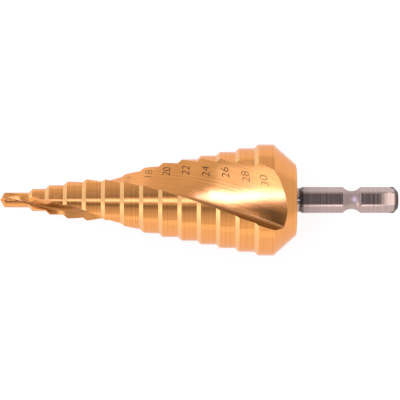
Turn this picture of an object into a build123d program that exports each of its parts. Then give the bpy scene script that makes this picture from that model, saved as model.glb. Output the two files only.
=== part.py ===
"""Step drill: fourteen steps from 4 to 30 mm, two spiral flutes and a hexagon shank.

The drill is modelled upright in three parts of the work, as it is made: the turned
blank, the ground flutes and the milled shank. It is then laid down as it comes to rest
on a flat floor. Lengths are in millimetres and angles in degrees.
"""

import os
from math import cos, degrees, log, radians, sin, sqrt, tan

from build123d import *

os.makedirs("parts", exist_ok=True)

# ----------------------------------------------------------------------------------
# Driving dimensions
# ----------------------------------------------------------------------------------

# Steps. A shoulder is the sloping ring that leads from one step up to the next.
step_count = 14
pilot_diameter = 4.0
diameter_rise = 2.0
point_angle = 118.0
pilot_length = 7.72
second_step_length = 4.51
third_step_length = 4.90
step_pitch = 5.13
shoulder_length = 1.1
last_land_length = 4.2

# Back of the head, a cone down to a flat ring around the neck.
back_slope = 41.9
back_face_diameter = 19.1
back_edge_round = 0.5

# Flutes. Each one is a cutting wall that stands on a radius, with a straight floor
# that runs from the foot of the wall to the heel of the land before it.
flute_count = 2
helix_angle = 18.8
wall_depth_at_point = 0.55
wall_depth_full = 3.0
wall_depth_full_height = 35.0
floor_angle_at_point = 80.0
floor_angle_full = 113.5
floor_angle_full_height = 21.0
corner_round_share = 0.4
run_out_at_point = 1.0
run_out_at_back = 9.0
run_out_outside = 2.0
station_count = 34

# Shank: a quarter inch hexagon with turned corners, slightly crowned chamfers at both
# ends, and a ring groove that the balls of a quick-change chuck drop into.
neck_diameter = 6.5
neck_length = 1.1
shank_flats = 6.35
shank_corner_diameter = 7.0
shank_length = 26.3
shank_turn = 25.3
lead_chamfer = 0.4
end_chamfer = 1.2
chamfer_crown = 0.05
groove_to_end = 12.5
groove_floor_diameter = 4.9
groove_arc_radius = 3.1

# ----------------------------------------------------------------------------------
# Values worked out from them
# ----------------------------------------------------------------------------------

rise = diameter_rise / 2
land_radii = [pilot_diameter / 2 + step * rise for step in range(step_count)]
full_radius = land_radii[-1]
back_radius = back_face_diameter / 2

shoulder_starts = [pilot_length, pilot_length + second_step_length]
shoulder_starts.append(shoulder_starts[-1] + third_step_length)
while len(shoulder_starts) < step_count - 1:
    shoulder_starts.append(shoulder_starts[-1] + step_pitch)

point_height = land_radii[0] / tan(radians(point_angle / 2))
last_land_start = shoulder_starts[-1] + shoulder_length
last_land_end = last_land_start + last_land_length
back_face_height = last_land_end + (full_radius - back_radius) / tan(radians(back_slope))
hexagon_start = back_face_height + neck_length
drill_length = hexagon_start + shank_length

# The flutes follow the smooth cone that runs through the middle of each land.
cone_rate = rise / step_pitch
cone_height = (last_land_start + last_land_end) / 2


def cone_radius(height):
    """Radius of the smooth cone at a height above the point."""
    return full_radius - cone_rate * (cone_height - height)


def flute_turn(height):
    """Direction of the cutting edge, for a flute of one helix angle on the cone."""
    return degrees(tan(radians(helix_angle)) / cone_rate * log(cone_radius(height) / full_radius))


def wall_depth(height):
    """How far the cutting wall reaches in from the cone, which grows from the point."""
    growth = (wall_depth_full - wall_depth_at_point) / wall_depth_full_height
    return min(wall_depth_at_point + growth * height, wall_depth_full)


def floor_angle(height):
    """Angle between the cutting wall and the floor of the flute, which opens from the point."""
    growth = (floor_angle_full - floor_angle_at_point) / floor_angle_full_height
    return radians(min(floor_angle_at_point + growth * height, floor_angle_full))


# ----------------------------------------------------------------------------------
# Turned blank of the head
# ----------------------------------------------------------------------------------

with BuildPart() as blank:
    with BuildSketch(Plane.XZ) as profile:
        with BuildLine():
            outline = [(0, 0), (land_radii[0], point_height)]
            for step, start in enumerate(shoulder_starts):
                outline.append((land_radii[step], start))
                outline.append((land_radii[step + 1], start + shoulder_length))
            outline.append((full_radius, last_land_end))
            outline.append((back_radius, back_face_height))
            outline.append((0, back_face_height))
            Polyline(*outline, close=True)
        make_face()
        back_corner = profile.vertices().sort_by_distance((back_radius, back_face_height, 0))[0]
        fillet(back_corner, back_edge_round)
    revolve(axis=Axis.Z)

# ----------------------------------------------------------------------------------
# Space ground away by one flute
# ----------------------------------------------------------------------------------

# The stations stand where the flute has turned by equal amounts, so they are close
# together at the point and further apart at the back. They run on past the head at
# both ends, and past the steps on the outside.
first_radius = cone_radius(-run_out_at_point)
last_radius = cone_radius(back_face_height + run_out_at_back)
radius_ratio = (last_radius / first_radius) ** (1 / (station_count - 1))

with BuildPart() as flute:
    for station in range(station_count):
        radius = first_radius * radius_ratio**station
        height = cone_height - (full_radius - radius) / cone_rate
        foot = radius - wall_depth(height)
        angle = floor_angle(height)
        outside = radius + run_out_outside
        floor_length = sqrt(outside**2 - (foot * sin(angle)) ** 2) - foot * cos(angle)
        far_side = -floor_length * sin(angle)
        with BuildSketch(Plane.XY.offset(height).rotated((0, 0, flute_turn(height)))) as section:
            with BuildLine():
                Polyline(
                    (foot, 0),
                    (outside, 0),
                    (outside, far_side),
                    (foot + floor_length * cos(angle), far_side),
                    close=True,
                )
            make_face()
            wall_foot = section.vertices().sort_by_distance((foot, 0, 0))[0]
            fillet(wall_foot, corner_round_share * wall_depth(height))
    loft()

# ----------------------------------------------------------------------------------
# Shank
# ----------------------------------------------------------------------------------

corner_radius = shank_corner_diameter / 2
groove_height = drill_length - groove_to_end

with BuildPart() as shank:
    with BuildSketch(Plane.XY.offset(hexagon_start).rotated((0, 0, shank_turn))):
        RegularPolygon(radius=shank_flats / 2, side_count=6, major_radius=False, rotation=30)
    extrude(amount=shank_length)
    with BuildSketch(Plane.XZ) as turned_outline:
        with BuildLine():
            Polyline((0, drill_length), (0, hexagon_start), (corner_radius - lead_chamfer, hexagon_start))
            SagittaArc(
                (corner_radius - lead_chamfer, hexagon_start),
                (corner_radius, hexagon_start + lead_chamfer),
                -chamfer_crown,
            )
            Line(
                (corner_radius, hexagon_start + lead_chamfer),
                (corner_radius, drill_length - end_chamfer),
            )
            SagittaArc(
                (corner_radius, drill_length - end_chamfer),
                (corner_radius - end_chamfer, drill_length),
                -chamfer_crown,
            )
            Line((corner_radius - end_chamfer, drill_length), (0, drill_length))
        make_face()
    revolve(axis=Axis.Z, mode=Mode.INTERSECT)
    with BuildSketch(Plane.XZ) as groove_arc:
        with Locations((groove_floor_diameter / 2 + groove_arc_radius, groove_height)):
            Circle(groove_arc_radius)
    revolve(axis=Axis.Z, mode=Mode.SUBTRACT)
    with BuildSketch(Plane.XY.offset(back_face_height)):
        Circle(neck_diameter / 2)
    extrude(amount=neck_length)

# ----------------------------------------------------------------------------------
# The whole drill, upright
# ----------------------------------------------------------------------------------

with BuildPart() as upright_drill:
    add(blank.part)
    with PolarLocations(0, flute_count):
        add(flute.part, mode=Mode.SUBTRACT)
    add(shank.part)

# ----------------------------------------------------------------------------------
# Lying on the floor
# ----------------------------------------------------------------------------------

# The drill rolls until one flute opens downwards. It then stands on three corners of
# that flute: the heel at the back of the last land, and the cutting edge at the front
# of two smaller lands. The point and the shank stay clear of the floor.
resting_steps = (9, 10)


def cutting_corner(step):
    """Corner of the cutting edge at the front of a land."""
    height = shoulder_starts[step - 1] + shoulder_length
    return Vector(land_radii[step], 0, height).rotate(Axis.Z, flute_turn(height))


def heel_corner(radius, height):
    """Corner where the floor of the flute meets the heel, at a radius and a height."""
    foot = cone_radius(height) - wall_depth(height)
    angle = floor_angle(height)
    floor_run = sqrt(radius**2 - (foot * sin(angle)) ** 2) - foot * cos(angle)
    heel = Vector(foot + floor_run * cos(angle), -floor_run * sin(angle), height)
    return heel.rotate(Axis.Z, flute_turn(height))


heel = heel_corner(full_radius, last_land_end)
front, middle = [cutting_corner(step) for step in resting_steps]
upwards = (front - heel).cross(middle - heel).normalized()
if upwards.dot(heel) > 0:
    upwards = -upwards
towards_shank = Vector(0, 0, 1) - upwards * upwards.Z
floor = Plane(origin=heel, x_dir=towards_shank, z_dir=upwards)

lying_drill = floor.to_local_coords(upright_drill.part)
middle_of_drill = lying_drill.bounding_box().center()
centre_on_floor = Location((-middle_of_drill.X, -middle_of_drill.Y, 0))

with BuildPart() as step_drill:
    add(lying_drill.moved(centre_on_floor))

step_drill.part.label = "step_drill"
export_step(step_drill.part, "parts/step_drill.step")
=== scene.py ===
import math

import bmesh
import bpy
from mathutils import Matrix, Vector


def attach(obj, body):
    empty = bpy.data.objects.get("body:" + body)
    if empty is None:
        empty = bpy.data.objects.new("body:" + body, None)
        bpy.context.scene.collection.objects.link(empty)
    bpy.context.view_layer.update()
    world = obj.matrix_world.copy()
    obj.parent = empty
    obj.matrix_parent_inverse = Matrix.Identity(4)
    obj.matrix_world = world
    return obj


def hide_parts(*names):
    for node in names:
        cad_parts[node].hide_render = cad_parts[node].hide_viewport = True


# Step drill for sheet metal, lying on a pale floor: a gold coated stepped head with
# two spiral flutes, size numbers marked in one flute, and a bare hexagon shank.
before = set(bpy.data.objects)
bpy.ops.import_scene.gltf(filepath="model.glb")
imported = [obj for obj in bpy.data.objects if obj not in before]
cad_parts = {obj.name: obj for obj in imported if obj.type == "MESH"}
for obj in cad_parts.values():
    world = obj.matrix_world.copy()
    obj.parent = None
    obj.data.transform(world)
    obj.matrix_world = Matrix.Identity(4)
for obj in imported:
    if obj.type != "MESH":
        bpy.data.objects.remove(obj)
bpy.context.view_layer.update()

# ---------------------------------------------------------------------------
# The drill is described upright, standing on its point, and then laid down. It
# has rolled until one flute opens downwards and it rests on that flute's edges,
# so its axis climbs from the point to the shank.
# ---------------------------------------------------------------------------
mm = 0.001
point_place = Vector((-53.326, 0, 4.731)) * mm
axis_climb = math.radians(7.175)
roll = math.radians(40.95)
laid_down = (
    Matrix.Translation(point_place)
    @ Matrix.Rotation(math.radians(90) - axis_climb, 4, "Y")
    @ Matrix.Rotation(roll, 4, "Z")
)

# ---------------------------------------------------------------------------
# Stepped head. It is turned from tool steel bar to fourteen steps of 4 to 30 mm,
# two flutes are ground along it, and it is coated with titanium nitride, a hard
# gold coloured layer so thin that every tool mark still shows through it.
# ---------------------------------------------------------------------------
step_count = 14
pilot_radius = 2 * mm
step_rise = 1 * mm
point_slope = math.radians(59)
shoulder_starts = [7.72 * mm, 12.23 * mm, 17.13 * mm]
step_pitch = 5.13 * mm
shoulder_length = 1.1 * mm
last_land_length = 4.2 * mm
back_slope = math.radians(41.9)
back_radius = 9.55 * mm
back_round = 0.5 * mm
edge_break = 0.05 * mm
while len(shoulder_starts) < step_count - 1:
    shoulder_starts.append(shoulder_starts[-1] + step_pitch)
full_radius = pilot_radius + step_rise * (step_count - 1)
last_land_start = shoulder_starts[-1] + shoulder_length
last_land_end = last_land_start + last_land_length
back_height = last_land_end + (full_radius - back_radius) / math.tan(back_slope)

# The flutes are ground to a smooth cone that runs through the middle of each step.
cone_rate = step_rise / step_pitch
cone_height = (last_land_start + last_land_end) / 2
helix_angle = math.radians(18.8)
depth_at_point = 0.55 * mm
depth_full = 3 * mm
depth_full_height = 35 * mm
angle_at_point = math.radians(80)
angle_full = math.radians(113.5)
angle_full_height = 21 * mm
corner_round_share = 0.25

# Half of the turned profile, point to neck, as rings of one radius and height each.
rings = [(0.0, 0.0)]


def turn_to(radius, height, pieces):
    """Carry the profile on in a straight line, in a number of equal pieces."""
    from_radius, from_height = rings[-1]
    for piece in range(1, pieces + 1):
        share = piece / pieces
        rings.append((
            from_radius + (radius - from_radius) * share,
            from_height + (height - from_height) * share,
        ))


shoulder_slope = math.atan2(step_rise, shoulder_length)
turn_to(pilot_radius - edge_break, (pilot_radius - edge_break) / math.tan(point_slope), 12)
turn_to(pilot_radius, pilot_radius / math.tan(point_slope) + edge_break, 1)
for step, start in enumerate(shoulder_starts):
    land_radius = pilot_radius + step_rise * step
    turn_to(land_radius, start, 9)
    turn_to(
        land_radius + step_rise - edge_break * math.sin(shoulder_slope),
        start + shoulder_length - edge_break * math.cos(shoulder_slope),
        3,
    )
    turn_to(land_radius + step_rise, start + shoulder_length + edge_break, 1)
turn_to(full_radius, last_land_end - edge_break, 9)
turn_to(
    full_radius - edge_break * math.sin(back_slope),
    last_land_end + edge_break * math.cos(back_slope),
    1,
)

# The rings crowd together where the flutes run out through the back of the head.
run_out = (
    full_radius
    - (full_radius + cone_rate * (last_land_end - cone_height) - depth_full) * math.sin(angle_full)
) / (math.tan(back_slope) + cone_rate * math.sin(angle_full))
back_pieces = 44
for piece in range(1, back_pieces + 1):
    beyond = edge_break + (run_out - edge_break) * (1 - (1 - piece / back_pieces) ** 2)
    rings.append((full_radius - beyond * math.tan(back_slope), last_land_end + beyond))
round_tangent = back_round * math.tan((math.radians(90) - back_slope) / 2)
turn_to(
    back_radius + round_tangent * math.sin(back_slope),
    back_height - round_tangent * math.cos(back_slope),
    8,
)
round_centre = back_radius - round_tangent
round_pieces = 6
for piece in range(1, round_pieces + 1):
    lean = back_slope + (math.radians(90) - back_slope) * piece / round_pieces
    rings.append((
        round_centre + back_round * math.cos(lean),
        back_height - back_round + back_round * math.sin(lean),
    ))
neck_radius = 3.25 * mm
turn_to(neck_radius, back_height, 4)
turn_to(0.0, back_height, 1)

profile_mesh = bpy.data.meshes.new("turned_profile")
profile_mesh.from_pydata([(radius, 0, height) for radius, height in rings], [], [])
head_maker = bpy.data.objects.new("turned_profile", profile_mesh)
bpy.context.scene.collection.objects.link(head_maker)


def maths_in(tree):
    """Give a function that adds one Math node to this tree."""

    def calc(operation, *values):
        """One Math node, given sockets or plain numbers."""
        node = tree.nodes.new("ShaderNodeMath")
        node.operation = operation
        for slot_number, value in enumerate(values):
            if isinstance(value, (int, float)):
                node.inputs[slot_number].default_value = value
            else:
                tree.links.new(value, node.inputs[slot_number])
        return node.outputs[0]

    return calc


# Tool marks: fine lines that lathe and grinding wheel leave, which run along the cut.
# The group gives their height and a slow streak for colour, from the distance across them.
tool_marks = bpy.data.node_groups.new("tool_marks", "ShaderNodeTree")
for socket_name in ("Across", "Line Width", "Streak Width"):
    tool_marks.interface.new_socket(name=socket_name, in_out="INPUT", socket_type="NodeSocketFloat")
for socket_name in ("Height", "Streak"):
    tool_marks.interface.new_socket(name=socket_name, in_out="OUTPUT", socket_type="NodeSocketFloat")
marks_in = tool_marks.nodes.new("NodeGroupInput")
marks_out = tool_marks.nodes.new("NodeGroupOutput")
for width_name, result_name, detail in (("Line Width", "Height", 1.0), ("Streak Width", "Streak", 2.0)):
    lines = tool_marks.nodes.new("ShaderNodeTexNoise")
    lines.noise_dimensions = "1D"
    lines.inputs["Scale"].default_value = 1.0
    lines.inputs["Detail"].default_value = detail
    lines.inputs["Roughness"].default_value = 0.6
    line_count = maths_in(tool_marks)("DIVIDE", marks_in.outputs["Across"], marks_in.outputs[width_name])
    tool_marks.links.new(line_count, lines.inputs["W"])
    tool_marks.links.new(lines.outputs["Fac"], marks_out.inputs[result_name])


def surface_value(tree, name):
    """One of the values that a mesh carries for its finish."""
    node = tree.nodes.new("ShaderNodeAttribute")
    node.attribute_name = name
    return node.outputs["Fac"]


def lay_marks(tree, line_width, streak_width):
    """Tool marks of this width in a material, as the group's two outputs."""
    node = tree.nodes.new("ShaderNodeGroup")
    node.node_tree = tool_marks
    node.inputs["Line Width"].default_value = line_width
    node.inputs["Streak Width"].default_value = streak_width
    tree.links.new(surface_value(tree, "across_marks"), node.inputs["Across"])
    return node.outputs["Height"], node.outputs["Streak"]


def colour_steps(tree, share, stops):
    """Colour that passes through stops, each a position and a colour, as share rises."""
    node = tree.nodes.new("ShaderNodeValToRGB")
    steps = node.color_ramp.elements
    for step, (position, colour) in zip(steps, (stops[0], stops[-1])):
        step.position = position
        step.color = (*colour, 1)
    for position, colour in stops[1:-1]:
        steps.new(position).color = (*colour, 1)
    tree.links.new(share, node.inputs["Fac"])
    return node.outputs["Color"]


def tone_towards(tree, share, start, end):
    """Colour that goes from one tone to a plain other as share rises."""
    node = tree.nodes.new("ShaderNodeMix")
    node.data_type = "RGBA"
    tree.links.new(share, node.inputs["Factor"])
    tree.links.new(start, node.inputs["A"])
    node.inputs["B"].default_value = (*end, 1)
    return node.outputs["Result"]


def between(tree, share, low, high):
    """Number that goes from low to high as share goes from 0 to 1."""
    node = tree.nodes.new("ShaderNodeMapRange")
    node.inputs["To Min"].default_value = low
    node.inputs["To Max"].default_value = high
    tree.links.new(share, node.inputs["Value"])
    return node.outputs["Result"]


def raise_marks(tree, height, shader):
    """Bend a shader's normals to marks of this height, in metres."""
    node = tree.nodes.new("ShaderNodeBump")
    node.inputs["Strength"].default_value = 1.0
    node.inputs["Distance"].default_value = 1.0
    tree.links.new(height, node.inputs["Height"])
    tree.links.new(node.outputs["Normal"], shader.inputs["Normal"])


# The coat is painted darker deep in the flutes' corners, as painted shade, and paler on the narrow
# shoulders, as a painted highlight. Gold that the coat mirrors in itself is painted duller, a
# painted reflection, so that the corners don't turn orange.
gold_coat = bpy.data.materials.new("gold_coat")
gold_coat.use_nodes = True
gold_tree = gold_coat.node_tree
gold_calc = maths_in(gold_tree)
gold = gold_tree.nodes["Principled BSDF"]
gold.inputs["Metallic"].default_value = 1.0
gold.inputs["Coat Weight"].default_value = 0.6
gold.inputs["Coat Roughness"].default_value = 0.12
gold.inputs["Coat IOR"].default_value = 1.6
gold.inputs["Specular Tint"].default_value = (0.88, 0.63, 0.46, 1)
gold_mark_height, gold_streak = lay_marks(gold_tree, line_width=0.19 * mm, streak_width=0.5 * mm)
in_corner_share = surface_value(gold_tree, "in_corner")
on_shoulder_share = surface_value(gold_tree, "on_shoulder")
mirrored = gold_tree.nodes.new("ShaderNodeLightPath").outputs["Is Glossy Ray"]
gold_tone = colour_steps(gold_tree, gold_streak, [(0.3, (0.8, 0.3, 0.062)), (0.7, (0.9, 0.37, 0.092))])
# Painted shade in the corners, painted highlight on the shoulders, painted reflection in mirrored gold.
for share, tone in (
    (in_corner_share, (0.55, 0.22, 0.055)),
    (on_shoulder_share, (0.93, 0.5, 0.18)),
    (mirrored, (0.5, 0.36, 0.17)),
):
    gold_tone = tone_towards(gold_tree, share, gold_tone, tone)
gold_tree.links.new(gold_tone, gold.inputs["Base Color"])
duller_places = gold_calc("MAXIMUM", in_corner_share, on_shoulder_share)
gold_rough = gold_calc("MULTIPLY_ADD", duller_places, 0.14, between(gold_tree, gold_streak, 0.13, 0.2))
gold_tree.links.new(gold_rough, gold.inputs["Roughness"])
gold_mark_depth = between(gold_tree, surface_value(gold_tree, "in_flute"), 0.003 * mm, 0.01 * mm)
raise_marks(gold_tree, gold_calc("MULTIPLY", gold_mark_height, gold_mark_depth), gold)

# The tree turns the profile into rings of points and shapes each ring to the section
# of the head at its height. Going round half a ring, a flute gives its wall, the round
# at the wall's foot and its floor, and a land gives the rest. The other half is alike.
flute_tree = bpy.data.node_groups.new("fluted_head", "GeometryNodeTree")
flute_tree.interface.new_socket(name="Geometry", in_out="OUTPUT", socket_type="NodeSocketGeometry")
flute_tree.interface.new_socket(name="Turned Profile", in_out="INPUT", socket_type="NodeSocketGeometry")
tree_sizes = {
    "Full Radius": full_radius,
    "Cone Rate": cone_rate,
    "Cone Height": cone_height,
    "Helix Angle": helix_angle,
    "Depth At Point": depth_at_point,
    "Depth Full": depth_full,
    "Depth Full Height": depth_full_height,
    "Angle At Point": angle_at_point,
    "Angle Full": angle_full,
    "Angle Full Height": angle_full_height,
    "Corner Round Share": corner_round_share,
    "Edge Break": edge_break,
}
tree_counts = {"Wall Points": 6, "Corner Points": 8, "Floor Points": 46, "Land Points": 60}
size_sockets = {}
for socket_name in (*tree_sizes, *tree_counts):
    size_sockets[socket_name] = flute_tree.interface.new_socket(
        name=socket_name, in_out="INPUT",
        socket_type="NodeSocketFloat" if socket_name in tree_sizes else "NodeSocketInt",
    ).identifier
coat_socket = flute_tree.interface.new_socket(
    name="Coat", in_out="INPUT", socket_type="NodeSocketMaterial"
).identifier
tree_in = flute_tree.nodes.new("NodeGroupInput")
tree_out = flute_tree.nodes.new("NodeGroupOutput")
size = {socket.name: socket for socket in tree_in.outputs if socket.name}
calc = maths_in(flute_tree)


def pick(test, if_true, if_false):
    """One Switch node between two numbers."""
    node = flute_tree.nodes.new("GeometryNodeSwitch")
    node.input_type = "FLOAT"
    for socket_name, value in (("Switch", test), ("True", if_true), ("False", if_false)):
        if isinstance(value, (int, float)):
            node.inputs[socket_name].default_value = value
        else:
            flute_tree.links.new(value, node.inputs[socket_name])
    return node.outputs[0]


def blend_to(start, end, share):
    """start plus share of the way to end."""
    return calc("ADD", start, calc("MULTIPLY", calc("SUBTRACT", end, start), share))


def within(value, lowest, highest):
    """value kept between two limits."""
    return calc("MINIMUM", calc("MAXIMUM", value, lowest), highest)


def squared(value):
    """value times itself."""
    return calc("MULTIPLY", value, value)


def far_from_axis(x, y):
    """Distance of a point of the section from the drill's axis."""
    return calc("SQRT", calc("ADD", squared(x), squared(y)))


# Grid of points, one column for each place round the head and one row for each ring.
wall_end = size["Wall Points"]
corner_end = calc("ADD", wall_end, size["Corner Points"])
floor_end = calc("ADD", corner_end, size["Floor Points"])
land_begin = calc("ADD", floor_end, 1)
half_count = calc("ADD", calc("ADD", land_begin, size["Land Points"]), 1)
profile_size = flute_tree.nodes.new("GeometryNodeAttributeDomainSize")
flute_tree.links.new(size["Turned Profile"], profile_size.inputs["Geometry"])
ring_count = profile_size.outputs["Point Count"]
grid = flute_tree.nodes.new("GeometryNodeMeshGrid")
flute_tree.links.new(calc("ADD", calc("MULTIPLY", half_count, 2), 1), grid.inputs["Vertices X"])
flute_tree.links.new(ring_count, grid.inputs["Vertices Y"])
index = flute_tree.nodes.new("GeometryNodeInputIndex").outputs[0]
column = calc("FLOOR", calc("DIVIDE", calc("ADD", index, 0.5), ring_count))
ring = calc("SUBTRACT", index, calc("MULTIPLY", column, ring_count))
half = calc("FLOOR", calc("DIVIDE", calc("ADD", column, 0.5), half_count))
place = calc("SUBTRACT", column, calc("MULTIPLY", half, half_count))
own_place = flute_tree.nodes.new("GeometryNodeInputPosition").outputs[0]
profile_point = flute_tree.nodes.new("GeometryNodeSampleIndex")
profile_point.data_type = "FLOAT_VECTOR"
flute_tree.links.new(size["Turned Profile"], profile_point.inputs["Geometry"])
flute_tree.links.new(own_place, profile_point.inputs["Value"])
flute_tree.links.new(ring, profile_point.inputs["Index"])
profile_parts = flute_tree.nodes.new("ShaderNodeSeparateXYZ")
flute_tree.links.new(profile_point.outputs["Value"], profile_parts.inputs[0])
radius, height = profile_parts.outputs["X"], profile_parts.outputs["Z"]

# Section of the flute at this height, with the cutting edge along X.
cone_radius = calc(
    "SUBTRACT", size["Full Radius"],
    calc("MULTIPLY", size["Cone Rate"], calc("SUBTRACT", size["Cone Height"], height)),
)
turn = calc(
    "MULTIPLY",
    calc("DIVIDE", calc("TANGENT", size["Helix Angle"]), size["Cone Rate"]),
    calc("LOGARITHM", calc("DIVIDE", cone_radius, size["Full Radius"]), math.e),
)
depth = blend_to(
    size["Depth At Point"], size["Depth Full"],
    calc("MINIMUM", calc("DIVIDE", height, size["Depth Full Height"]), 1),
)
angle = blend_to(
    size["Angle At Point"], size["Angle Full"],
    calc("MINIMUM", calc("DIVIDE", height, size["Angle Full Height"]), 1),
)
foot = calc("SUBTRACT", cone_radius, depth)
round_radius = calc("MULTIPLY", size["Corner Round Share"], depth)
half_angle = calc("MULTIPLY", angle, 0.5)
tangent = calc("DIVIDE", round_radius, calc("TANGENT", half_angle))
to_centre = calc("DIVIDE", round_radius, calc("SINE", half_angle))
centre_x = calc("ADD", foot, calc("MULTIPLY", to_centre, calc("COSINE", half_angle)))
centre_y = calc("MULTIPLY", round_radius, -1)
centre_far = far_from_axis(centre_x, centre_y)
centre_turn = calc("ARCTAN2", centre_y, centre_x)


def floor_point(run):
    """Point of the section on the flute's floor, that far from the wall's own line."""
    return (
        calc("ADD", foot, calc("MULTIPLY", run, calc("COSINE", angle))),
        calc("MULTIPLY", calc("MULTIPLY", run, calc("SINE", angle)), -1),
    )


def round_point(round_angle):
    """Point of the section on the round at the wall's foot."""
    return (
        calc("ADD", centre_x, calc("MULTIPLY", round_radius, calc("COSINE", round_angle))),
        calc("ADD", centre_y, calc("MULTIPLY", round_radius, calc("SINE", round_angle))),
    )


wall_foot = calc("ADD", foot, tangent)
floor_foot = far_from_axis(*floor_point(tangent))
nearest = calc("MULTIPLY", foot, calc("SINE", angle))
nearest_run = calc("MULTIPLY", calc("MULTIPLY", foot, calc("COSINE", angle)), -1)
least_radius = pick(
    calc("GREATER_THAN", nearest_run, tangent), nearest, calc("SUBTRACT", centre_far, round_radius)
)

# The sharp edges are broken by a narrow flat, except where the flute runs out.
is_cut = calc("GREATER_THAN", radius, least_radius)
cut_share = calc("DIVIDE", calc("SUBTRACT", radius, least_radius), calc("MULTIPLY", size["Edge Break"], 6))
broken = calc("MULTIPLY", size["Edge Break"], within(cut_share, 0, 1))
cut_radius = calc("SUBTRACT", radius, broken)
half_chord = calc(
    "SQRT", calc("MAXIMUM", calc("SUBTRACT", squared(cut_radius), squared(nearest)), 0)
)
floor_from = calc("MAXIMUM", tangent, calc("SUBTRACT", nearest_run, half_chord))
floor_to = calc("MAXIMUM", floor_from, calc("ADD", nearest_run, half_chord))
round_to = calc("SUBTRACT", 1.5 * math.pi, angle)
meeting_cosine = calc(
    "DIVIDE",
    calc("SUBTRACT", squared(cut_radius), calc("ADD", squared(centre_far), squared(round_radius))),
    calc("MULTIPLY", calc("MULTIPLY", centre_far, round_radius), 2),
)
round_from = within(
    calc("ADD", centre_turn, calc("ARCCOSINE", within(meeting_cosine, -1, 1))),
    math.pi / 2, round_to,
)
has_wall = calc("GREATER_THAN", cut_radius, wall_foot)
has_round = calc("GREATER_THAN", cut_radius, floor_foot)

# Share of the way along the wall, the round, the floor or the land, for each place.
wall_share = within(calc("DIVIDE", place, wall_end), 0, 1)
round_share = within(calc("DIVIDE", calc("SUBTRACT", place, wall_end), size["Corner Points"]), 0, 1)
floor_share = within(calc("DIVIDE", calc("SUBTRACT", place, corner_end), size["Floor Points"]), 0, 1)
land_share = within(calc("DIVIDE", calc("SUBTRACT", place, land_begin), size["Land Points"]), 0, 1)
on_wall = calc("LESS_THAN", place, calc("ADD", wall_end, 0.5))
on_round = calc("LESS_THAN", place, calc("ADD", corner_end, 0.5))
on_floor = calc("LESS_THAN", place, calc("ADD", floor_end, 0.5))
floor_run = blend_to(floor_from, floor_to, floor_share)
round_x, round_y = round_point(blend_to(round_from, round_to, round_share))
run_x, run_y = floor_point(floor_run)
first_x, first_y = floor_point(floor_from)
first_round_x, first_round_y = round_point(round_from)
heel_x, heel_y = floor_point(floor_to)
edge_x = pick(has_wall, cut_radius, pick(has_round, first_round_x, first_x))
edge_y = pick(has_wall, 0, pick(has_round, first_round_y, first_y))
flute_x = pick(
    on_wall, pick(has_wall, blend_to(cut_radius, wall_foot, wall_share), edge_x),
    pick(on_round, pick(has_round, round_x, first_x), run_x),
)
flute_y = pick(
    on_wall, pick(has_wall, 0, edge_y),
    pick(on_round, pick(has_round, round_y, first_y), run_y),
)
flute_far = far_from_axis(flute_x, flute_y)
shrink = calc("MINIMUM", calc("DIVIDE", cut_radius, calc("MAXIMUM", flute_far, 1e-9)), 1)
break_turn = calc("DIVIDE", broken, calc("MAXIMUM", radius, 1e-6))
land_turn = blend_to(
    calc("SUBTRACT", calc("ARCTAN2", heel_y, heel_x), break_turn),
    calc("ADD", calc("SUBTRACT", calc("ARCTAN2", edge_y, edge_x), math.pi), break_turn),
    land_share,
)
land_x = calc("MULTIPLY", radius, calc("COSINE", land_turn))
land_y = calc("MULTIPLY", radius, calc("SINE", land_turn))
section_x = pick(on_floor, calc("MULTIPLY", flute_x, shrink), land_x)
section_y = pick(on_floor, calc("MULTIPLY", flute_y, shrink), land_y)

# The section is turned to the cutting edge's place on the spiral.
full_turn = calc("SUBTRACT", turn, calc("MULTIPLY", half, math.pi))
turn_cosine = calc("COSINE", full_turn)
turn_sine = calc("SINE", full_turn)
turned_x = calc(
    "SUBTRACT", calc("MULTIPLY", section_x, turn_cosine), calc("MULTIPLY", section_y, turn_sine)
)
turned_y = calc(
    "ADD", calc("MULTIPLY", section_x, turn_sine), calc("MULTIPLY", section_y, turn_cosine)
)
new_place = flute_tree.nodes.new("ShaderNodeCombineXYZ")
for socket, value in zip(new_place.inputs, (turned_x, turned_y, height)):
    flute_tree.links.new(value, socket)
shaped = flute_tree.nodes.new("GeometryNodeSetPosition")
flute_tree.links.new(grid.outputs["Mesh"], shaped.inputs["Geometry"])
flute_tree.links.new(new_place.outputs[0], shaped.inputs["Position"])

# Marks run round the lands and along the flutes, so the distance across them differs.
in_flute = calc("MULTIPLY", on_floor, is_cut)
flute_across = pick(
    on_wall, calc("SUBTRACT", wall_foot, flute_x),
    calc("ADD", floor_run, calc("MULTIPLY", round_radius, round_share)),
)
across_value = pick(in_flute, flute_across, height)

# The corner's painted shade is full on the round and not quite half as strong on the wall.
wall_painted_shade_share = 0.45
in_corner = calc(
    "MULTIPLY", in_flute,
    calc("SUBTRACT", on_round, calc("MULTIPLY", on_wall, 1 - wall_painted_shade_share)),
)


def keep_value(geometry, name, value, domain):
    """Store a value on the mesh under a name that the finish reads."""
    node = flute_tree.nodes.new("GeometryNodeStoreNamedAttribute")
    node.data_type = "FLOAT"
    node.domain = domain
    node.inputs["Name"].default_value = name
    flute_tree.links.new(geometry, node.inputs["Geometry"])
    flute_tree.links.new(value, node.inputs["Value"])
    return node.outputs["Geometry"]


head = keep_value(shaped.outputs["Geometry"], "across_marks", across_value, "POINT")
head = keep_value(head, "in_flute", in_flute, "POINT")
head = keep_value(head, "in_corner", in_corner, "POINT")
outward = flute_tree.nodes.new("GeometryNodeFlipFaces")
flute_tree.links.new(head, outward.inputs["Mesh"])
closed = flute_tree.nodes.new("GeometryNodeMergeByDistance")
closed.inputs["Distance"].default_value = 0.0005 * mm
flute_tree.links.new(outward.outputs["Mesh"], closed.inputs["Geometry"])

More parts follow.
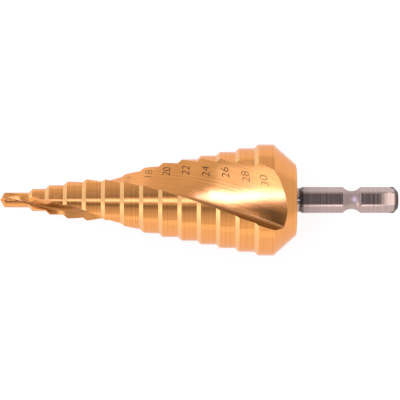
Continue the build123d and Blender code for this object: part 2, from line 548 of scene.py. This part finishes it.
# The shoulders face the point, so their normals lean down the axis. The point's own
# cone does too, but lies below the first of them.
face_normal = flute_tree.nodes.new("ShaderNodeSeparateXYZ")
own_normal = flute_tree.nodes.new("GeometryNodeInputNormal").outputs["Normal"]
flute_tree.links.new(own_normal, face_normal.inputs[0])
face_place = flute_tree.nodes.new("ShaderNodeSeparateXYZ")
flute_tree.links.new(own_place, face_place.inputs[0])
# This mask carries the painted highlight on the shoulders, and their extra roughness.
on_shoulder = calc(
    "MULTIPLY",
    calc("LESS_THAN", face_normal.outputs["Z"], -0.55),
    calc("GREATER_THAN", face_place.outputs["Z"], shoulder_starts[0]),
)
head = keep_value(closed.outputs["Geometry"], "on_shoulder", on_shoulder, "FACE")

# Folds of more than this are crisp edges, and the rest is shaded smooth.
crisp_fold = math.radians(14)
smooth = flute_tree.nodes.new("GeometryNodeSetShadeSmooth")
flute_tree.links.new(head, smooth.inputs["Geometry"])
fold = flute_tree.nodes.new("GeometryNodeInputMeshEdgeAngle")
is_crisp = calc("GREATER_THAN", fold.outputs["Unsigned Angle"], crisp_fold)
crisp = flute_tree.nodes.new("GeometryNodeSetShadeSmooth")
crisp.domain = "EDGE"
crisp.inputs["Shade Smooth"].default_value = False
flute_tree.links.new(smooth.outputs["Geometry"], crisp.inputs["Geometry"])
flute_tree.links.new(is_crisp, crisp.inputs["Selection"])
realized = flute_tree.nodes.new("GeometryNodeRealizeInstances")
flute_tree.links.new(crisp.outputs["Geometry"], realized.inputs["Geometry"])
coated = flute_tree.nodes.new("GeometryNodeSetMaterial")
flute_tree.links.new(realized.outputs["Geometry"], coated.inputs["Geometry"])
flute_tree.links.new(size["Coat"], coated.inputs["Material"])
flute_tree.links.new(coated.outputs["Geometry"], tree_out.inputs["Geometry"])

fluting = head_maker.modifiers.new("fluting", "NODES")
fluting.node_group = flute_tree
for socket_name, value in {**tree_sizes, **tree_counts}.items():
    fluting[size_sockets[socket_name]] = value
fluting[coat_socket] = gold_coat


def made_mesh(maker):
    """Plain mesh of an object with its modifiers or its text applied. The object goes."""
    bpy.context.view_layer.update()
    mesh = bpy.data.meshes.new_from_object(maker.evaluated_get(bpy.context.evaluated_depsgraph_get()))
    bpy.data.objects.remove(maker)
    return mesh


def lay_down(name, mesh):
    """Lay an upright mesh down and give it an object of its own."""
    mesh.name = name
    mesh.transform(laid_down)
    piece = bpy.data.objects.new(name, mesh)
    bpy.context.scene.collection.objects.link(piece)
    return piece


# The grid brings an empty material slot with it, before the coat's own.
head_mesh = made_mesh(head_maker)
head_mesh.materials.pop(index=0)
stepped_head = lay_down("stepped_head", head_mesh)
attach(stepped_head, "root")
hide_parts("step_drill")

# ---------------------------------------------------------------------------
# Size numbers. The diameter of each of the larger steps is burnt into the floor of
# the upper flute by laser, as dark brown digits that read across the flute.
# ---------------------------------------------------------------------------
digit_height = 2.0 * mm
number_length = 2.7 * mm
mark_above = 0.025 * mm
mark_below = 0.06 * mm
stroke_thinning = -0.011
mesh_spacing = 0.07
mesh_cuts = range(-2, 24)
# Each number has its height, its distance from the wall, its lean towards the shank
# and how far it is lightened towards gold, which on 28 and 30 is a painted highlight.
size_numbers = [
    ("16", 34.3, 5.75, 6, 0.85),
    ("18", 40.0, 7.05, 6, 0.35),
    ("20", 44.9, 7.7, 6, 0.0),
    ("22", 50.05, 8.5, 4, 0.0),
    ("24", 55.4, 9.05, -4, 0.0),
    ("26", 60.6, 9.95, -8, 0.0),
    ("28", 66.0, 10.4, -10, 0.2),
    ("30", 70.9, 10.95, -12, 0.3),
]


def flute_floor(height, run, lift):
    """Place on the floor of the upper flute, raised a little off it."""
    cone = full_radius - cone_rate * (cone_height - height)
    depth = depth_at_point + (depth_full - depth_at_point) * min(height / depth_full_height, 1)
    angle = angle_at_point + (angle_full - angle_at_point) * min(height / angle_full_height, 1)
    turn = math.tan(helix_angle) / cone_rate * math.log(cone / full_radius) - math.pi
    across = cone - depth + run * math.cos(angle) + lift * math.sin(angle)
    aside = -run * math.sin(angle) + lift * math.cos(angle)
    return Vector((
        across * math.cos(turn) - aside * math.sin(turn),
        across * math.sin(turn) + aside * math.cos(turn),
        height,
    ))


# The laser leaves the digits rough and unevenly dark, and the faint ones near to gold.
# On 28 and 30 that lightening is a painted highlight.
burnt_mark = bpy.data.materials.new("burnt_mark")
burnt_mark.use_nodes = True
burnt_tree = burnt_mark.node_tree
burnt = burnt_tree.nodes["Principled BSDF"]
burnt.inputs["Metallic"].default_value = 0.6
burnt.inputs["Roughness"].default_value = 0.4
scorch_place = burnt_tree.nodes.new("ShaderNodeTexCoord")
scorch = burnt_tree.nodes.new("ShaderNodeTexNoise")
scorch.inputs["Scale"].default_value = 900.0
burnt_tree.links.new(scorch_place.outputs["Object"], scorch.inputs["Vector"])
faint_and_highlight_share = surface_value(burnt_tree, "faintness_and_highlight")
scorched = maths_in(burnt_tree)("MULTIPLY_ADD", scorch.outputs["Fac"], 0.25, faint_and_highlight_share)
burnt_tone = colour_steps(burnt_tree, scorched, [(0.1, (0.07, 0.025, 0.01)), (1.0, (0.74, 0.29, 0.06))])
burnt_tree.links.new(burnt_tone, burnt.inputs["Base Color"])


def flat_number(text):
    """A number as a flat outline, cut so finely that it can follow the flute's floor."""
    writing = bpy.data.curves.new("number", "FONT")
    writing.body = text
    writing.offset = stroke_thinning
    writer = bpy.data.objects.new("number", writing)
    bpy.context.scene.collection.objects.link(writer)
    outline = bmesh.new()
    outline.from_mesh(made_mesh(writer))
    bmesh.ops.remove_doubles(outline, verts=outline.verts, dist=0.0001)
    for axis in (Vector((1, 0, 0)), Vector((0, 1, 0))):
        for cut in mesh_cuts:
            bmesh.ops.bisect_plane(
                outline, geom=outline.verts[:] + outline.edges[:] + outline.faces[:],
                plane_co=axis * cut * mesh_spacing, plane_no=axis, dist=0.00001,
            )
    bmesh.ops.dissolve_degenerate(outline, edges=outline.edges, dist=0.002)
    left_over = [spot for spot in outline.verts if not spot.link_faces]
    bmesh.ops.delete(outline, geom=left_over, context="VERTS")
    outline.verts.index_update()
    return outline


# Each digit is a thin closed plate, with an upper and a lower face and a rim.
mark_points, mark_faces, mark_faintness_and_highlight = [], [], []
for text, number_height, number_run, lean_degrees, faintness_and_highlight in size_numbers:
    outline = flat_number(text)
    spots = [spot.co for spot in outline.verts]
    left, right = min(spot.x for spot in spots), max(spot.x for spot in spots)
    bottom, top = min(spot.y for spot in spots), max(spot.y for spot in spots)
    lean = math.radians(lean_degrees)
    first = len(mark_points)
    count = len(spots)
    for lift in (mark_above, -mark_below):
        for spot in spots:
            reading = number_length * ((spot.x - left) / (right - left) - 0.5)
            rising = digit_height * ((spot.y - bottom) / (top - bottom) - 0.5)
            run = number_run * mm + reading * math.cos(lean) + rising * math.sin(lean)
            height = number_height * mm + reading * math.sin(lean) - rising * math.cos(lean)
            mark_points.append(flute_floor(height, run, lift))
            mark_faintness_and_highlight.append(faintness_and_highlight)
    for face in outline.faces:
        corners = [spot.index for spot in face.verts]
        mark_faces.append([first + corner for corner in corners])
        mark_faces.append([first + count + corner for corner in reversed(corners)])
    for edge in outline.edges:
        if len(edge.link_faces) == 1:
            loop = edge.link_loops[0]
            start, end = loop.vert.index, loop.link_loop_next.vert.index
            mark_faces.append([first + end, first + start, first + count + start, first + count + end])
    outline.free()
numbers_mesh = bpy.data.meshes.new("size_numbers")
numbers_mesh.from_pydata(mark_points, [], mark_faces)
numbers_mesh.attributes.new("faintness_and_highlight", "FLOAT", "POINT").data.foreach_set("value", mark_faintness_and_highlight)
numbers_work = bmesh.new()
numbers_work.from_mesh(numbers_mesh)
bmesh.ops.recalc_face_normals(numbers_work, faces=numbers_work.faces)
numbers_work.to_mesh(numbers_mesh)
numbers_work.free()
numbers_mesh.materials.append(burnt_mark)
burnt_numbers = lay_down("size_numbers", numbers_mesh)
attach(burnt_numbers, "root")

# ---------------------------------------------------------------------------
# Hexagon shank. Bare ground steel, a quarter inch across its flats, with its
# corners turned down, both ends chamfered and a ring groove for the balls of a
# quick-change chuck. It is one piece with the head, below a short round neck.
# ---------------------------------------------------------------------------
flat_distance = 3.175 * mm
corner_radius = 3.5 * mm
hexagon_start = back_height + 1.1 * mm
shank_end = hexagon_start + 26.3 * mm
lead_chamfer = 0.4 * mm
end_chamfer = 1.2 * mm
groove_height = shank_end - 12.5 * mm
groove_floor = 2.45 * mm
groove_arc = 3.1 * mm
worn_start = shank_end - 5.5 * mm
worn_depth = 0.45 * mm
shank_turn = math.radians(25.3)
flat_pieces, corner_pieces = 4, 8

# Each ring holds its radius, its height and the distance to its flats. A ring that is
# smaller than the flats comes out round. The neck starts inside the head.
no_flats = 1.0
shank_rings = [(0.0, back_height - 0.5 * mm, no_flats)]
for piece in range(5):
    neck_height = back_height + (hexagon_start - back_height) * (piece - 1) / 3
    shank_rings.append((neck_radius, neck_height, no_flats))


def shank_to(radius, height, pieces):
    """Carry the shank on to a ring, in a number of equal pieces."""
    from_radius, from_height, _ = shank_rings[-1]
    for piece in range(1, pieces + 1):
        share = piece / pieces
        ring_height = from_height + (height - from_height) * share
        beyond = max(ring_height - worn_start, 0)
        shank_rings.append((
            from_radius + (radius - from_radius) * share,
            ring_height,
            flat_distance - worn_depth * (beyond / (shank_end - worn_start)) ** 2,
        ))


groove_half = math.sqrt(groove_arc**2 - (groove_floor + groove_arc - corner_radius) ** 2)
shank_rings.append((corner_radius - lead_chamfer, hexagon_start, flat_distance))
shank_to(corner_radius, hexagon_start + lead_chamfer, 8)
shank_to(corner_radius, groove_height - groove_half, 12)
groove_pieces = 48
for piece in range(1, groove_pieces + 1):
    beside = groove_half * (2 * piece / groove_pieces - 1)
    shank_to(groove_floor + groove_arc - math.sqrt(groove_arc**2 - beside**2), groove_height + beside, 1)
shank_to(corner_radius, shank_end - end_chamfer, 30)
shank_to(corner_radius - end_chamfer, shank_end, 12)
shank_to(0.0, shank_end, 1)

# Going round a ring, each of six sides gives its flat and then the turned corner.
shank_points, shank_faces = [], []
for ring_radius, ring_height, ring_flat in shank_rings:
    flat_half = math.acos(min(ring_flat / max(ring_radius, 1e-9), 1.0))
    side_spots = []
    for piece in range(flat_pieces):
        along = ring_flat * math.tan(flat_half) * (2 * piece / flat_pieces - 1)
        if flat_half > 0:
            side_spots.append((math.hypot(ring_flat, along), math.atan2(along, ring_flat)))
        else:
            side_spots.append((ring_radius, 0.0))
    for piece in range(corner_pieces):
        corner_share = piece / corner_pieces
        side_spots.append((ring_radius, flat_half + (math.pi / 3 - 2 * flat_half) * corner_share))
    for side in range(6):
        side_turn = shank_turn + side * math.pi / 3
        for reach, lean in side_spots:
            shank_points.append((
                reach * math.cos(side_turn + lean), reach * math.sin(side_turn + lean), ring_height,
            ))
around = 6 * (flat_pieces + corner_pieces)
for ring_start in range(0, around * (len(shank_rings) - 1), around):
    for spot in range(around):
        after = (spot + 1) % around
        shank_faces.append((
            ring_start + spot, ring_start + after,
            ring_start + around + after, ring_start + around + spot,
        ))
shank_mesh = bpy.data.meshes.new("hexagon_shank")
shank_mesh.from_pydata(shank_points, [], shank_faces)
shank_across = shank_mesh.attributes.new("across_marks", "FLOAT", "POINT")
shank_across.data.foreach_set("value", [point[2] for point in shank_points])

# Ground steel keeps fine marks across it. Painted shade darkens the steel next to the head,
# fading along the hexagon, with a dark band over the neck's end and the first chamfer that is a
# painted reflection of the head's dark back. The end chamfer is darker too.
# The groove is turned and not ground, so it is duller than the flats.
bare_steel = bpy.data.materials.new("bare_steel")
bare_steel.use_nodes = True
steel_tree = bare_steel.node_tree
steel_calc = maths_in(steel_tree)
steel = steel_tree.nodes["Principled BSDF"]
steel.inputs["Metallic"].default_value = 1.0
steel_mark_height, steel_streak = lay_marks(steel_tree, line_width=0.2 * mm, streak_width=0.6 * mm)
steel_tone = colour_steps(steel_tree, steel_streak, [(0.3, (0.44, 0.345, 0.31)), (0.7, (0.52, 0.41, 0.37))])
shank_map = steel_tree.nodes.new("ShaderNodeMapRange")
shank_map.inputs["From Min"].default_value = back_height
shank_map.inputs["From Max"].default_value = shank_end
steel_tree.links.new(surface_value(steel_tree, "across_marks"), shank_map.inputs["Value"])
shank_share = shank_map.outputs["Result"]
# Painted shade and reflection near the head, and a darker end chamfer, along the shank.
painted_shade_and_dark_end_stops = [(0.0, (0.9, 0.85, 0.85))]
for position, level in (
    (0.02, 0.9), (0.03, 0.26), (0.064, 0.3), (0.08, 0.7), (0.14, 0.84),
    (0.3, 0.95), (0.6, 1.0), (0.955, 1.0), (0.965, 0.25),
):
    painted_shade_and_dark_end_stops.append((position, (level, level * 0.94, level * 0.94)))
painted_shade_and_dark_end_stops.append((1.0, (0.22, 0.18, 0.18)))
painted_shade_and_dark_end = steel_tree.nodes.new("ShaderNodeMix")
painted_shade_and_dark_end.data_type = "RGBA"
painted_shade_and_dark_end.blend_type = "MULTIPLY"
painted_shade_and_dark_end.inputs["Factor"].default_value = 1.0
steel_tree.links.new(steel_tone, painted_shade_and_dark_end.inputs["A"])
steel_tree.links.new(colour_steps(steel_tree, shank_share, painted_shade_and_dark_end_stops), painted_shade_and_dark_end.inputs["B"])
steel_tree.links.new(painted_shade_and_dark_end.outputs["Result"], steel.inputs["Base Color"])
polished, dull = (0, 0, 0), (0.28, 0.28, 0.28)
groove_rough = colour_steps(
    steel_tree, shank_share, [(0.45, polished), (0.475, dull), (0.615, dull), (0.64, polished)]
)
steel_rough = steel_calc("ADD", between(steel_tree, steel_streak, 0.11, 0.19), groove_rough)
steel_tree.links.new(steel_rough, steel.inputs["Roughness"])
raise_marks(steel_tree, steel_calc("MULTIPLY", steel_mark_height, 0.0006 * mm), steel)

shank_work = bmesh.new()
shank_work.from_mesh(shank_mesh)
bmesh.ops.remove_doubles(shank_work, verts=shank_work.verts, dist=0.0005 * mm)
bmesh.ops.dissolve_degenerate(shank_work, edges=shank_work.edges, dist=0.0002 * mm)
bmesh.ops.recalc_face_normals(shank_work, faces=shank_work.faces)
for edge in shank_work.edges:
    edge.smooth = len(edge.link_faces) == 2 and edge.calc_face_angle(0) < math.radians(12)
for face in shank_work.faces:
    face.smooth = True
shank_work.to_mesh(shank_mesh)
shank_work.free()
shank_mesh.materials.append(bare_steel)
hexagon_shank = lay_down("hexagon_shank", shank_mesh)
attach(hexagon_shank, "root")
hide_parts("step_drill")

# ---------------------------------------------------------------------------
# Floor: a wide pale sheet with no edge in view. It takes the drill's shadow, and
# glows a little to the camera and in reflections, so that it shows as white.
# ---------------------------------------------------------------------------
floor_half = 6
floor_glow = 0.8
floor_corners = [(-floor_half, -floor_half, 0), (floor_half, -floor_half, 0)]
floor_corners += [(floor_half, floor_half, 0), (-floor_half, floor_half, 0)]
floor_mesh = bpy.data.meshes.new("pale_floor")
floor_mesh.from_pydata(floor_corners, [], [(0, 1, 2, 3)])
pale_floor = bpy.data.objects.new("pale_floor", floor_mesh)
bpy.context.scene.collection.objects.link(pale_floor)
pale_sheet = bpy.data.materials.new("pale_sheet")
pale_sheet.use_nodes = True
sheet_tree = pale_sheet.node_tree
sheet_calc = maths_in(sheet_tree)
sheet = sheet_tree.nodes["Principled BSDF"]
sheet.inputs["Base Color"].default_value = (0.3, 0.3, 0.3, 1)
sheet.inputs["Roughness"].default_value = 1.0
sheet.inputs["Specular IOR Level"].default_value = 0.0
sheet.inputs["Emission Color"].default_value = (1, 1, 1, 1)
seen = sheet_tree.nodes.new("ShaderNodeLightPath")
seen_or_mirrored = sheet_calc("MAXIMUM", seen.outputs["Is Camera Ray"], seen.outputs["Is Glossy Ray"])
seen_at_all = sheet_calc("MAXIMUM", seen_or_mirrored, seen.outputs["Is Transmission Ray"])
sheet_tree.links.new(sheet_calc("MULTIPLY", seen_at_all, floor_glow), sheet.inputs["Emission Strength"])
floor_mesh.materials.append(pale_sheet)

# ---------------------------------------------------------------------------
# Camera, square on to the drill's axis from above and a little in front.
# ---------------------------------------------------------------------------
camera_far = 0.7
picture_pixels = 400
pixels_per_mm = 3.71
look_at = Vector((0.152, 0, 11.462)) * mm
to_camera = Vector((-0.1225, -0.1950, 0.9731)).normalized()
view_up = to_camera.cross(Vector((0.99217, 0, 0.1249))).normalized()
view_right = view_up.cross(to_camera).normalized()


def stand(place, right, up, back):
    """Matrix of something that stands at a place and looks away from its back."""
    return Matrix.Translation(place) @ Matrix((right, up, back)).transposed().to_4x4()


camera_data = bpy.data.cameras.new("camera")
camera_data.sensor_width = 36
camera_data.lens = camera_data.sensor_width * camera_far / (picture_pixels / pixels_per_mm * mm)
camera_data.clip_end = 20
camera = bpy.data.objects.new("camera", camera_data)
bpy.context.scene.collection.objects.link(camera)
camera.matrix_world = stand(look_at + to_camera * camera_far, view_right, view_up, to_camera)
bpy.context.scene.camera = camera
bpy.context.scene.view_settings.view_transform = "Standard"

# ---------------------------------------------------------------------------
# Light: a pale room that is dimmer overhead, where the camera stands, with three
# dark patches near the camera, and soft lamps round it. Bright metal shows the room
# and not itself, so each lamp stands where one part of the drill mirrors it.
# ---------------------------------------------------------------------------


def towards(right_degrees, up_degrees, far):
    """Offset in a direction that lies this far right of and above the camera's."""
    off_axis = math.radians(math.hypot(right_degrees, up_degrees))
    round_axis = math.atan2(up_degrees, right_degrees)
    sideways = view_right * math.cos(round_axis) + view_up * math.sin(round_axis)
    return (to_camera * math.cos(off_axis) + sideways * math.sin(off_axis)) * far


room = bpy.data.worlds.new("pale_room")
bpy.context.scene.world = room
room.use_nodes = True
room_tree = room.node_tree
heading = room_tree.nodes.new("ShaderNodeTexCoord").outputs["Generated"]


def facing(direction):
    """Cosine of the angle between a heading in the room and this direction."""
    node = room_tree.nodes.new("ShaderNodeVectorMath")
    node.operation = "DOT_PRODUCT"
    node.inputs[1].default_value = direction
    room_tree.links.new(heading, node.inputs[0])
    return node.outputs["Value"]


room_levels = [(0.0, 0.8), (0.34, 0.74), (0.5, 0.7), (0.66, 0.56), (0.78, 0.47), (0.88, 0.4), (0.97, 0.3)]
room_colour = colour_steps(
    room_tree, facing(to_camera), [(position, (level, level, level)) for position, level in room_levels]
)
patch_middle = math.cos(math.radians(4))
patch_edge = math.cos(math.radians(11))
patch_levels = []
for right_degrees, up_degrees, level in ((-11.5, -8, 0.05), (-11, -19, 0.05), (7, 11, 0.3)):
    patch = room_tree.nodes.new("ShaderNodeMapRange")
    patch.interpolation_type = "SMOOTHSTEP"
    patch.inputs["From Min"].default_value = patch_edge
    patch.inputs["From Max"].default_value = patch_middle
    patch.inputs["To Min"].default_value = 1.0
    patch.inputs["To Max"].default_value = level
    room_tree.links.new(facing(towards(right_degrees, up_degrees, 1.0)), patch.inputs["Value"])
    patch_levels.append(patch.outputs["Result"])
room_calc = maths_in(room_tree)
room_strength = patch_levels[0]
for patch_level in patch_levels[1:]:
    room_strength = room_calc("MULTIPLY", room_strength, patch_level)
room_tree.links.new(room_colour, room_tree.nodes["Background"].inputs["Color"])
room_tree.links.new(room_strength, room_tree.nodes["Background"].inputs["Strength"])

lit_place = Vector((0, 0, 12)) * mm


def hang_lamp(name, first, last, far, wide_degrees, bright, tint=(1, 1, 1)):
    """A flat lamp that faces the drill and runs from one direction to another."""
    first_place, last_place = towards(*first, far), towards(*last, far)
    run = first_place - last_place
    middle = (first_place + last_place) / 2
    wide = math.radians(wide_degrees) * far
    lamp = bpy.data.lights.new(name, "AREA")
    lamp.shape = "RECTANGLE"
    lamp.size = run.length
    lamp.size_y = wide
    lamp.energy = bright * math.pi * wide * run.length
    lamp.color = tint
    back = middle.normalized()
    right = (run - back * run.dot(back)).normalized()
    holder = bpy.data.objects.new(name, lamp)
    holder.matrix_world = stand(lit_place + middle, right, back.cross(right), back)
    holder.visible_camera = False
    bpy.context.scene.collection.objects.link(holder)


# Lamp behind the camera, for the bright line along the lands, and its wider glow.
hang_lamp("camera_lamp", (-7, -1.5), (9, -1.5), 0.9, 10, 2.0, (0.97, 1, 1.5))
hang_lamp("camera_glow", (-7, -3), (3, -3), 0.9, 28, 0.4)

# Bent strip of cool lamps beside the camera, for the white patch in the flute.
cool = (0.9, 1.0, 1.95)
hang_lamp("strip_top", (-14, 44), (-14.5, 32), 0.8, 4, 3.5, cool)
hang_lamp("strip_upper", (-16.3, 32), (-17.2, 10), 0.8, 7.5, 6.5, cool)
hang_lamp("strip_mid", (-18, 10), (-22.2, -8), 0.6, 6, 6.5, cool)
hang_lamp("strip_low", (-22.2, -8), (-24.8, -25), 0.6, 4.5, 5.5, cool)

# Softer lamps on the point's side of the strip, for the glow round the white patch.
pale_cool = (0.95, 1.1, 1.45)
hang_lamp("left_high", (-36, 54), (-36, 28), 0.7, 22, 0.15, (0.9, 1, 1))
hang_lamp("left_soft", (-32, 26), (-32, -2), 0.7, 17, 0.8, pale_cool)
hang_lamp("left_low", (-33, -2), (-33, -25), 0.7, 17, 1.15, pale_cool)

# Low lamps in front, for the lower side of the lands and for the shoulders.
hang_lamp("low_mid", (-12, -46), (12, -46), 0.8, 30, 0.17)
hang_lamp("low_left", (-72, -20), (-55, -54), 0.8, 13, 8)
hang_lamp("low_front", (-45, -66), (45, -66), 0.8, 22, 0.5)

# Lamps on the shank's side, for the end of the flute, the back of the head and the
# line along the shank's lower corner.
hang_lamp("right_edge", (10, 12), (14, 12), 0.7, 12, 0.5)
hang_lamp("right_soft", (14, 12), (34, 12), 0.7, 12, 1.8)
hang_lamp("right_low", (27, 0), (27, -52), 0.7, 18, 0.3)
hang_lamp("shank_low", (7.5, -50), (12.5, -50), 0.4, 20, 1.8)
